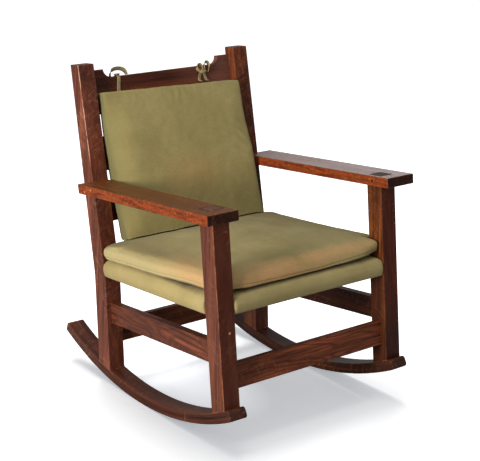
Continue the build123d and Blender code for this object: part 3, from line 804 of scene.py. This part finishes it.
def make_seat_cushion(material):
    """The loose seat cushion, whose front lip droops over the fixed seat."""
    obj = new_object("loose_seat_cushion", nodes["seat_cushion"].data.copy(), material)
    remeshed(obj, size=0.0055, smoothing=9, shrink=0.0035)
    swell(obj, pressure=4.0, cap=0.0065, frames=16)
    subdivide(obj)
    p = upright(coordinates(obj))
    out = upright(coordinates(obj) + normals(obj)) - p
    side = 1 - np.abs(out[:, 2])
    height = p[:, 2] - SEAT_TOP
    seam = bell(height - SEAM_HEIGHT - 0.001 * ripple(p, 9.0, 1), SEAM_WIDTH) * np.clip(side * 1.8, 0, 1)
    p -= out * (SEAM_DEPTH * seam)[:, None]
    folds = ripple(p * (0.35, 1.0, 1.0), 34.0, 3) * bell(p[:, 1] - 0.02, 0.06)
    lengthways = ripple(p * (1.0, 0.22, 0.6), 30.0, 4) * np.clip(out[:, 2], 0, 1)
    puckers = PUCKER_DEPTH * ripple(p, 14.0, 2)
    p += out * (puckers + FOLD_DEPTH * folds + LONG_FOLD_DEPTH * lengthways)[:, None]
    front = smooth_step((LIP_DEPTH - p[:, 1]) / LIP_DEPTH)
    low = smooth_step((LIP_HEIGHT - height) / LIP_HEIGHT)
    p[:, 2] += np.interp(p[:, 0], LIP_X, LIP_Z) * front * (0.25 + 0.75 * low)
    p[:, 1] -= LIP_FORWARD * front * low * smooth_step((0.25 - np.abs(p[:, 0])) / 0.06)
    near_rear = smooth_step((-p[:, 0] - 0.12) / 0.16) * smooth_step((p[:, 1] - 0.12) / 0.22)
    p[:, 0] -= NEAR_OVERHANG * near_rear
    p = keep_off_legs(p, LEG_GAP)
    back = np.clip((COVER_FRONT + SEAT_ROUND - p[:, 1]) / SEAT_ROUND, 0, 1)
    floor = SEAT_TOP - SEAT_ROUND * (1 - np.sqrt(1 - back**2)) + CLEAR
    floor += FRONT_GAP * smooth_step((0.045 - p[:, 1]) / 0.03)
    floor += SIDE_GAP * smooth_step((np.abs(p[:, 0]) - 0.268) / 0.028) * (p[:, 1] > LEG_DEPTH)
    floor = np.where(p[:, 1] < 0.0, 0.0, floor)
    p[:, 2] = np.maximum(p[:, 2], floor)
    move_to(obj, rest(p))
    soft_piece(obj, "seat_cushion", "frame")
    return obj


# Back cushion in the back frame: its ends, its front and half widths along it, and its rounding
PILLOW_LOW = 0.0965
PILLOW_HIGH = 0.527
TOP_SLOPE = 0.030
FRONT_AT = [0.08, 0.105, 0.20, 0.31, 0.395, 0.46, 0.515, 0.56]
FRONT_Y = [-0.070, -0.074, -0.078, -0.073, -0.055, -0.040, -0.025, -0.014]
FRONT_HALF = [0.247, 0.247, 0.242, 0.238, 0.235, 0.236, 0.240, 0.241]
REAR_HALF = [0.212, 0.214, 0.220, 0.228, 0.230, 0.230, 0.232, 0.232]
PILLOW_CELLS = (54, 50, 13)
END_SHARE = 0.22
NEAR_WIDER = 0.009
SIDE_ROUND = 0.008
SIDE_ROUND_FROM = 0.45
NEAR_THINNER = 0.026
NEAR_EDGE = 0.15
PILLOW_SWELL = 0.013
SEAM_CREASE = 0.55
PILLOW_LIFT = 0.0040
GATHER_DEPTH = 0.0006
CREASE_DEPTH = 0.0010


def round_off(x):
    """Nought at nought, and one at one with an upright end, as in a quarter circle."""
    return 1 - math.sqrt(1 - x * x)


def cushion_point(u, v, w):
    """A point of the back cushion's cut shape: shares across, up, and from back to front."""
    a = PILLOW_LOW + v * (PILLOW_HIGH - PILLOW_LOW)
    half = (1 - w) * np.interp(a, FRONT_AT, REAR_HALF) + w * np.interp(a, FRONT_AT, FRONT_HALF)
    middle = smooth_step(v / END_SHARE) * smooth_step((1 - v) / END_SHARE)
    turn = max(0.0, (w - SIDE_ROUND_FROM) / (1 - SIDE_ROUND_FROM))
    half += NEAR_WIDER * w * (1 - u) * middle - SIDE_ROUND * middle * round_off(turn)
    thinner = NEAR_THINNER * middle * round_off(max(0.0, 1 - u / NEAR_EDGE))
    x = (2 * u - 1) * half - 0.001
    a = a - TOP_SLOPE * x * v
    rear = SETBACK - 2 * CLEAR
    return x, rear + w * (np.interp(a, FRONT_AT, FRONT_Y) + thinner - rear), a


def box_skin(name, counts, place, material):
    """The skin of a box of cells that a function lays out, and the numbers of its seams' vertices."""
    nu, nv, nw = counts
    bm = bmesh.new()
    found = {}
    seams = []

    def vertex(i, j, k):
        if (i, j, k) not in found:
            found[i, j, k] = bm.verts.new(place(i / nu, j / nv, k / nw))
            if (i in (0, nu)) + (j in (0, nv)) + (k in (0, nw)) >= 2:
                seams.append(len(found) - 1)
        return found[i, j, k]

    def patch(n, m, at):
        for p in range(n):
            for q in range(m):
                bm.faces.new([vertex(*at(p + s, q + t)) for s, t in ((0, 0), (1, 0), (1, 1), (0, 1))])

    for end in (0, 1):
        patch(nu, nv, lambda p, q: (p, q, nw * end))
        patch(nu, nw, lambda p, q: (p, nv * end, q))
        patch(nv, nw, lambda p, q: (nu * end, p, q))
    bmesh.ops.recalc_face_normals(bm, faces=bm.faces)
    return object_of(name, bm, material), seams


def crease_seams(mesh, seams):
    """Keeps the seams across the top and the bottom crisp where the skin is subdivided."""
    crease = mesh.attributes.new("crease_edge", "FLOAT", "EDGE")
    across = [abs(np.subtract(*[mesh.vertices[i].co.x for i in e.vertices])) > 0.004 for e in mesh.edges]
    sewn = [set(e.vertices) <= seams for e in mesh.edges]
    crease.data.foreach_set("value", [SEAM_CREASE * (a and b) for a, b in zip(across, sewn)])


def make_back_cushion(material, seat):
    """The boxed back cushion, sewn along its edges, leaning on the slats and resting on the seat cushion."""
    obj, seams = box_skin("loose_back_cushion", PILLOW_CELLS, cushion_point, material)
    swell(obj, pressure=2.2, cap=PILLOW_SWELL, frames=22, pins=seams, fullness=0.001)
    crease_seams(obj.data, set(seams))
    subdivide(obj)
    p = coordinates(obj)
    out = normals(obj)
    front = smooth_step(-out[:, 1])
    below_top = PILLOW_HIGH - TOP_SLOPE * p[:, 0] - p[:, 2]
    gathers = np.sin(p[:, 0] * 250 + 5.0 * ripple(p, 22.0, 8)) * bell(below_top - 0.022, 0.026)
    gathers *= bell(p[:, 0] + 0.02, 0.13) * np.clip(0.4 + 1.8 * ripple(p, 16.0, 10), 0, 1.6)
    creases = np.sin((p[:, 2] + 0.6 * p[:, 0]) * 200 + 2.0 * ripple(p, 20.0, 9))
    creases *= bell(0.198 - p[:, 0], 0.035) * bell(p[:, 2] - 0.35, 0.06)
    slack = 0.0014 * ripple(p, 11.0, 5) + 0.0006 * ripple(p, 38.0, 6)
    p += out * (slack + front * (GATHER_DEPTH * gathers + CREASE_DEPTH * creases))[:, None]
    p[:, 1] = np.minimum(p[:, 1], SETBACK - CLEAR)
    points = back_to_rest(p)
    ground = BVHTree.FromObject(seat, bpy.context.evaluated_depsgraph_get())
    for i in np.nonzero(p[:, 2] < 0.14)[0]:
        hit = ground.ray_cast(Vector((points[i][0], points[i][1], 1.0)), Vector((0, 0, -1)))[0]
        lift = CLEAR + PILLOW_LIFT * float(smooth_step((-0.045 - p[i, 1]) / 0.02))
        if hit is not None and points[i][2] < hit.z + lift:
            points[i][2] = hit.z + lift
    move_to(obj, points)
    soft_piece(obj, "back_cushion", "back_cushion")


# Tapes in the back frame; the free loops' routes go across and up
RIGHT_X = -0.1543
LEFT_X = 0.1387
RIGHT_LOOP = [
    (-0.0237, 0.0), (-0.0237, 0.007), (-0.0187, 0.016), (-0.0087, 0.0215), (0.0083, 0.022), (0.0228, 0.0175),
    (0.0308, 0.009), (0.0328, 0.001),
]
LEFT_LOOP = [
    (0.0048, 0.0), (0.0048, 0.012), (0.0098, 0.0215), (0.0183, 0.0225), (0.0243, 0.0135), (0.0233, 0.0015),
    (0.0173, -0.009),
]
SMALL_LOOP = [
    (-0.0012, 0.0), (-0.0012, 0.009), (-0.0072, 0.017), (-0.0162, 0.0165), (-0.0207, 0.008), (-0.0177, -0.001),
    (-0.0117, -0.004),
]
CREST_MIDDLE = 0.036
CREST_REAR = 0.045
CREST_LOW = 0.4714
TAPE_FACE = 0.0266
PILLOW_TOP = 0.530
KNOT_Y = 0.0182
KNOT_TOP = 0.5635
RIGHT_KNOT = (RIGHT_X, CREST_MIDDLE, CREST_TOP + 0.0045)
RIGHT_KNOT_HALF = (0.010, 0.0062, 0.0038)
LEFT_KNOT = (LEFT_X, KNOT_Y, KNOT_TOP - 0.0055)
LEFT_KNOT_HALF = (0.0125, 0.0062, 0.0082)
WIDE_TAPE = 0.0125
NARROW_TAPE = 0.0100
HANGER_WIDTH = 0.0120
HANGER_SLANT = 0.0054
HANGER_SPREAD = 0.0118
HANGER_GAP = 0.0007
HANGER_LAYER = 0.0013
WIDE_TWIST = 68
NARROW_TWIST = 60
FREE_THICK = 0.0014
HELD_THICK = 0.0011
BAND_GAP = 0.0008
BAND_CORNER = 0.001
CORNER_CUTS = 2


def spline_points(name, points):
    """Points along the smooth line that a route's NURBS spline makes."""
    data = bpy.data.curves.new(name, "CURVE")
    data.dimensions = "3D"
    data.resolution_u = 8
    spline = data.splines.new("NURBS")
    spline.points.add(len(points) - 1)
    for point, place in zip(spline.points, points):
        point.co = (*place, 1)
    spline.order_u = 3
    spline.use_endpoint_u = True
    holder = placed(name, data)
    mesh = bpy.data.meshes.new_from_object(holder)
    line = [v.co.copy() for v in mesh.vertices]
    bpy.data.objects.remove(holder)
    return line


def ribbon(name, line, width, thick, material, across):
    """A flat tape along a line, with rounded rims; across gives the direction of its width."""
    half, r = width / 2, thick / 2
    upper = [(-half + r * 0.4, r * 0.9), (-half * 0.4, r), (half * 0.4, r), (half - r * 0.4, r * 0.9)]
    profile = [(-half, 0), *upper, (half, 0), *[(u, -v) for u, v in reversed(upper)]]
    bm = bmesh.new()
    rings = []
    last = len(line) - 1
    for i, point in enumerate(line):
        tangent = (Vector(line[min(i + 1, last)]) - Vector(line[max(i - 1, 0)])).normalized()
        wide = Vector(across(i / last))
        wide = (wide - tangent * wide.dot(tangent)).normalized()
        up = tangent.cross(wide)
        rings.append([bm.verts.new(Vector(point) + wide * u + up * v) for u, v in profile])
    for first, second in zip(rings, rings[1:]):
        for k in range(len(profile)):
            n = (k + 1) % len(profile)
            bm.faces.new((first[k], first[n], second[n], second[k]))
    bm.faces.new(list(reversed(rings[0])))
    bm.faces.new(rings[-1])
    bmesh.ops.recalc_face_normals(bm, faces=bm.faces)
    return object_of(name, bm, material)


def free_tape(name, node, route, start, width, twist, body, material, declared=True):
    """A free tape along its route's NURBS line, turned by a twist so that part of its face shows."""
    x, y, base = start
    line = spline_points(name, back_to_rest([(x + step, y, base + rise) for step, rise in route]))
    front, up = back_axis(0, -1, 0), back_axis(0, 0, 1)

    def across(t):
        turn = math.radians(twist) * min(1.0, 3.0 * t, 0.5 + 3.0 * (1 - t))
        return front * math.cos(turn) + up * math.sin(turn)

    tape = ribbon(name, line, width, FREE_THICK, material, across)
    stands_for(tape, node, body)


def held_tape(name, node, points, width, body, material):
    """A tape that lies on something, along a line of the back frame whose corners are cut."""
    line = np.array(points, float)
    for _ in range(CORNER_CUTS):
        ahead = 0.75 * line[:-1] + 0.25 * line[1:]
        behind = 0.25 * line[:-1] + 0.75 * line[1:]
        line = np.vstack([line[:1], np.stack([ahead, behind], 1).reshape(-1, 3), line[-1:]])
    tape = ribbon(name, back_to_rest(line), width, HELD_THICK, material, lambda t: (1, 0, 0))
    stands_for(tape, node, body)


def knot_piece(name, node, centre, half, turns, body, material):
    """A small knot: tape wound round a pinched middle."""
    bm = bmesh.new()
    bmesh.ops.create_uvsphere(bm, u_segments=28, v_segments=18, radius=1.0)
    for v in bm.verts:
        x, y, z = v.co
        ridge = 1.0 + 0.10 * math.sin(turns * math.atan2(z, y) + 2.2 * x)
        pinch = 0.80 + 0.20 * abs(x)
        v.co = (x * half[0], y * half[1] * ridge * pinch, z * half[2] * ridge * pinch)
    knot = object_of(name, bm, material)
    move_to(knot, back_to_rest(coordinates(knot) + np.array(centre)))
    stands_for(knot, node, body)


def hanger_points(top_x, bottom_x, layer):
    """A tape from under the crest's top edge down to its tab on the back cushion."""
    y = TAPE_FACE - HANGER_GAP - layer * HANGER_LAYER
    return [
        (top_x, y, CREST_TOP - 0.0008), (top_x, y, CREST_TOP - 0.010), (bottom_x, y - 0.0005, PILLOW_TOP + 0.008),
        (bottom_x, y - 0.001, PILLOW_TOP + 0.001), (bottom_x, y - 0.013, PILLOW_TOP - 0.0005),
    ]


def band_points(x):
    """From under the crest rail up its rear and over its top to the front."""
    front, rear = SETBACK + CLEAR, CREST_REAR + BAND_GAP
    low, high = CREST_LOW - BAND_GAP, CREST_TOP + BAND_GAP
    return [
        (x, front + BAND_CORNER, low), (x, rear - BAND_CORNER, low), (x, rear, low + BAND_CORNER),
        (x, rear, high - BAND_CORNER), (x, rear - BAND_CORNER, high), (x, front + BAND_CORNER, high),
        (x, front, high),
    ]


def make_ties(material):
    crest, knot = (RIGHT_X, CREST_MIDDLE, CREST_TOP), (LEFT_X, KNOT_Y, KNOT_TOP)
    free_tape("tie_standing_loop", "tie_loop_right", RIGHT_LOOP, crest, WIDE_TAPE, WIDE_TWIST, "frame", material)
    narrow = (knot, NARROW_TAPE, NARROW_TWIST, "back_cushion", material)
    free_tape("tie_bow_loop", "tie_loop_left", LEFT_LOOP, *narrow)
    free_tape("tie_small_loop", "tie_small_loop_left", SMALL_LOOP, *narrow, declared=False)
    near = hanger_points(RIGHT_X, RIGHT_X - HANGER_SLANT, 0)
    far_a = hanger_points(LEFT_X, LEFT_X - HANGER_SPREAD, 0)
    far_b = hanger_points(LEFT_X, LEFT_X + HANGER_SPREAD, 1)
    for row in (
        ("tie_band_near", "tie_band_right", band_points(RIGHT_X), WIDE_TAPE, "frame"),
        ("tie_band_far", "tie_band_left", band_points(LEFT_X), NARROW_TAPE, "frame"),
        ("tie_hanger_near", "tie_tape_right", near, HANGER_WIDTH, "back_cushion"),
        ("tie_hanger_far_a", "tie_tapes_left", far_a, NARROW_TAPE, "back_cushion"),
        ("tie_hanger_far_b", "tie_tapes_left", far_b, NARROW_TAPE, "back_cushion"),
    ):
        held_tape(*row, material)
    knot_piece("tie_knot_near", "tie_knot_right", RIGHT_KNOT, RIGHT_KNOT_HALF, 3, "frame", material)
    knot_piece("tie_knot_far", "tie_knot_left", LEFT_KNOT, LEFT_KNOT_HALF, 4, "back_cushion", material)


# Floor, light and world
FLOOR_HALF = 30
FLOOR_PLAIN = (0.34, 0.34, 0.345, 1)
FLOOR_SEEN = (0.93, 0.92, 0.90, 1)
FLOOR_GLOW = (0.90, 0.94, 1.0, 1)
GLOW_AWAY = (0.70, 1.4, 0.42, 0.85)
PAINTED_LIGHT_UNDER_CHAIR = (0.3, 1.2, 0.35, 0.0)
PAINTED_LIGHT_CENTRE = (-0.10, 0.12, 0)
PAINTED_LIGHT_RADII = (0.16, 0.34, 1)
AMBIENT = 0.42


def seen_directly(g):
    """One for rays from the camera, also through something clear."""
    path = g.add("LightPath").outputs
    return g.math("MAXIMUM", path["Is Camera Ray"], path["Is Transmission Ray"])


def make_floor():
    """A pale floor that keeps the chair's shadow, with painted light in a patch under the chair, is brighter away
    from it and isn't seen from below.
    """
    mesh = bpy.data.meshes.new("floor")
    h = FLOOR_HALF
    mesh.from_pydata([(-h, -h, 0), (h, -h, 0), (h, h, 0), (-h, h, 0)], [], [(0, 1, 2, 3)])
    g = Graph("floor")
    seen = seen_directly(g)
    place = g.place()
    away = g.span(g.vector("LENGTH", place), *GLOW_AWAY)
    # Painted light: the floor glows brighter in a patch under the chair
    inside = g.vector("LENGTH", g.vector("DIVIDE", g.vector("SUBTRACT", place, PAINTED_LIGHT_CENTRE), PAINTED_LIGHT_RADII))
    strength = g.math("ADD", away, g.span(inside, *PAINTED_LIGHT_UNDER_CHAIR))
    plain, pale = (g.add("BsdfDiffuse", {"Color": c}).outputs[0] for c in (FLOOR_PLAIN, FLOOR_SEEN))
    glow = g.add("Emission", {"Color": FLOOR_GLOW, "Strength": strength}).outputs[0]
    both = g.add("AddShader", {0: pale, 1: glow}).outputs[0]
    mixed = g.add("MixShader", {0: seen, 1: plain, 2: both}).outputs[0]
    below = g.add("NewGeometry").outputs["Backfacing"]
    clear = g.add("BsdfTransparent").outputs[0]
    one_sided = g.add("MixShader", {0: below, 1: mixed, 2: clear}).outputs[0]
    g.add("OutputMaterial", {"Surface": one_sided})
    floor = new_object("floor", mesh, g.owner)
    return floor


def make_world():
    """White where it is seen, and a plain ambient light otherwise."""
    g = Graph("world", bpy.data.worlds)
    scene.world = g.owner
    strength = g.add("Mix", {"Factor": seen_directly(g), "A": AMBIENT, "B": 1.0}).outputs["Result"]
    background = g.add("Background", {"Color": (1, 1, 1, 1), "Strength": strength})
    g.add("OutputWorld", {"Surface": background.outputs[0]})


def area_light(name, place, target, size, power, colour):
    data = bpy.data.lights.new(name, "AREA")
    data.shape = "DISK"
    data.size = size
    data.energy = power
    data.color = colour
    light = placed(name, data)
    light.location = place
    light.rotation_mode = "QUATERNION"
    light.rotation_quaternion = (Vector(place) - Vector(target)).to_track_quat("Z", "Y")
    return light


def light_rule(light, objects, state):
    """Limits a light to some objects, or keeps it off them."""
    group = bpy.data.collections.new(light.name + "_reach")
    for obj in objects:
        group.objects.link(obj)
    for item in group.collection_objects:
        item.light_linking.link_state = state
    light.light_linking.receiver_collection = group


# Place, target, size, power and colour. The glow is for the arms and the crest, the shade for the floor.
LIGHTS = {
    "key": ((-3.9, -0.9, 1.35), (0, 0, 0.45), 1.4, 185.0, (1.0, 0.93, 0.84)),
    "glow": ((2.9, 2.6, 1.45), (0.2, 0, 0.6), 1.5, 14.0, (0.92, 0.95, 1.0)),
    "top": ((-0.5, -0.4, 3.4), (0, 0, 0.3), 1.6, 22.0, (1.0, 0.99, 0.97)),
    "shade": ((0.3, 0.6, 2.7), (0, 0, 0), 1.8, 74.0, (0.98, 0.99, 1.0)),
}


def make_lights(floor):
    lights = {name: area_light(name, *looks) for name, looks in LIGHTS.items()}
    light_rule(lights["key"], [floor], "EXCLUDE")
    light_rule(lights["glow"], [nodes[name] for name in ("arm_left", "arm_right", "crest_rail")], "INCLUDE")
    light_rule(lights["shade"], [floor], "INCLUDE")


# Colours of the cloth, with its spots (centre, radii, amount, shade), some of them painted shadow, and faces that
# get painted light and painted shade (way, from, shade, amount)
TAN = (206, 158, 110)
# Colour of the painted shadow in the gaps under the seat cushion
GAP_PAINTED_SHADOW = (30, 26, 14)
GAP_TOP = SEAT_TOP + 0.003
SEAT_SPOTS = [
    (rest([(0.16, 0.13, 0.455)])[0], (0.17, 0.20, 0.06), 0.6, (182, 167, 120)),
    (rest([(-0.11, -0.004, 0.432)])[0], (0.27, 0.075, 0.046), 0.85, TAN),
    (rest([(0.12, 0.004, 0.452)])[0], (0.20, 0.045, 0.026), 0.75, TAN),
    (rest([(-0.27, 0.11, 0.432)])[0], (0.12, 0.21, 0.040), 0.7, TAN),
]
# Painted light on the seat cushion's faces that look to the near side
SEAT_PAINTED_LIGHT = [(NEAR, 0.25, (204, 190, 144), 0.5)]
BACK_SPOTS = [(back_to_rest([(0.0, -0.065, 0.27)])[0], (0.14, 0.08, 0.075), 0.5, (180, 144, 96))]
# Painted shade on the back cushion's faces that look to the near side
BACK_PAINTED_SHADE = [(NEAR, 0.25, (104, 104, 68), 0.65)]
# Painted shadow on the fixed seat's cover in the gaps under the seat cushion's front and near side
COVER_PAINTED_SHADOWS = [
    (rest([(0.0, 0.010, GAP_TOP)])[0], (0.70, 0.035, 0.0088), 1.0, GAP_PAINTED_SHADOW),
    (rest([(-0.274, 0.24, GAP_TOP)])[0], (0.034, 0.50, 0.0088), 1.0, GAP_PAINTED_SHADOW),
]
TAPE_SHADES = (134, 116, 84), (184, 164, 128)
WEBBING_SHADES = (132, 104, 66), (178, 150, 108)

make_camera()
make_ties(woven("tie_tape", *TAPE_SHADES, 0, TAPE_PITCH))
seat_cloth = cloth("seat_cushion_cloth", (143, 132, 84), (168, 154, 103), SEAT_SPOTS, SEAT_PAINTED_LIGHT)
back_cloth = cloth("back_cushion_cloth", (146, 135, 86), (164, 151, 100), BACK_SPOTS, BACK_PAINTED_SHADE)
make_seat_cover(cloth("fixed_seat_cloth", (160, 146, 98), (178, 162, 112), COVER_PAINTED_SHADOWS))
make_back_cushion(back_cloth, make_seat_cushion(seat_cloth))
dress_wood()
make_padding(burlap("padding_burlap"))
dress(nodes["seat_webbing_long"], woven("webbing_long", *WEBBING_SHADES, 0, WEBBING_PITCH))
dress(nodes["seat_webbing_cross"], woven("webbing_cross", *WEBBING_SHADES, 1, WEBBING_PITCH))
floor = make_floor()
make_world()
make_lights(floor)
scene.view_settings.view_transform = "Standard"
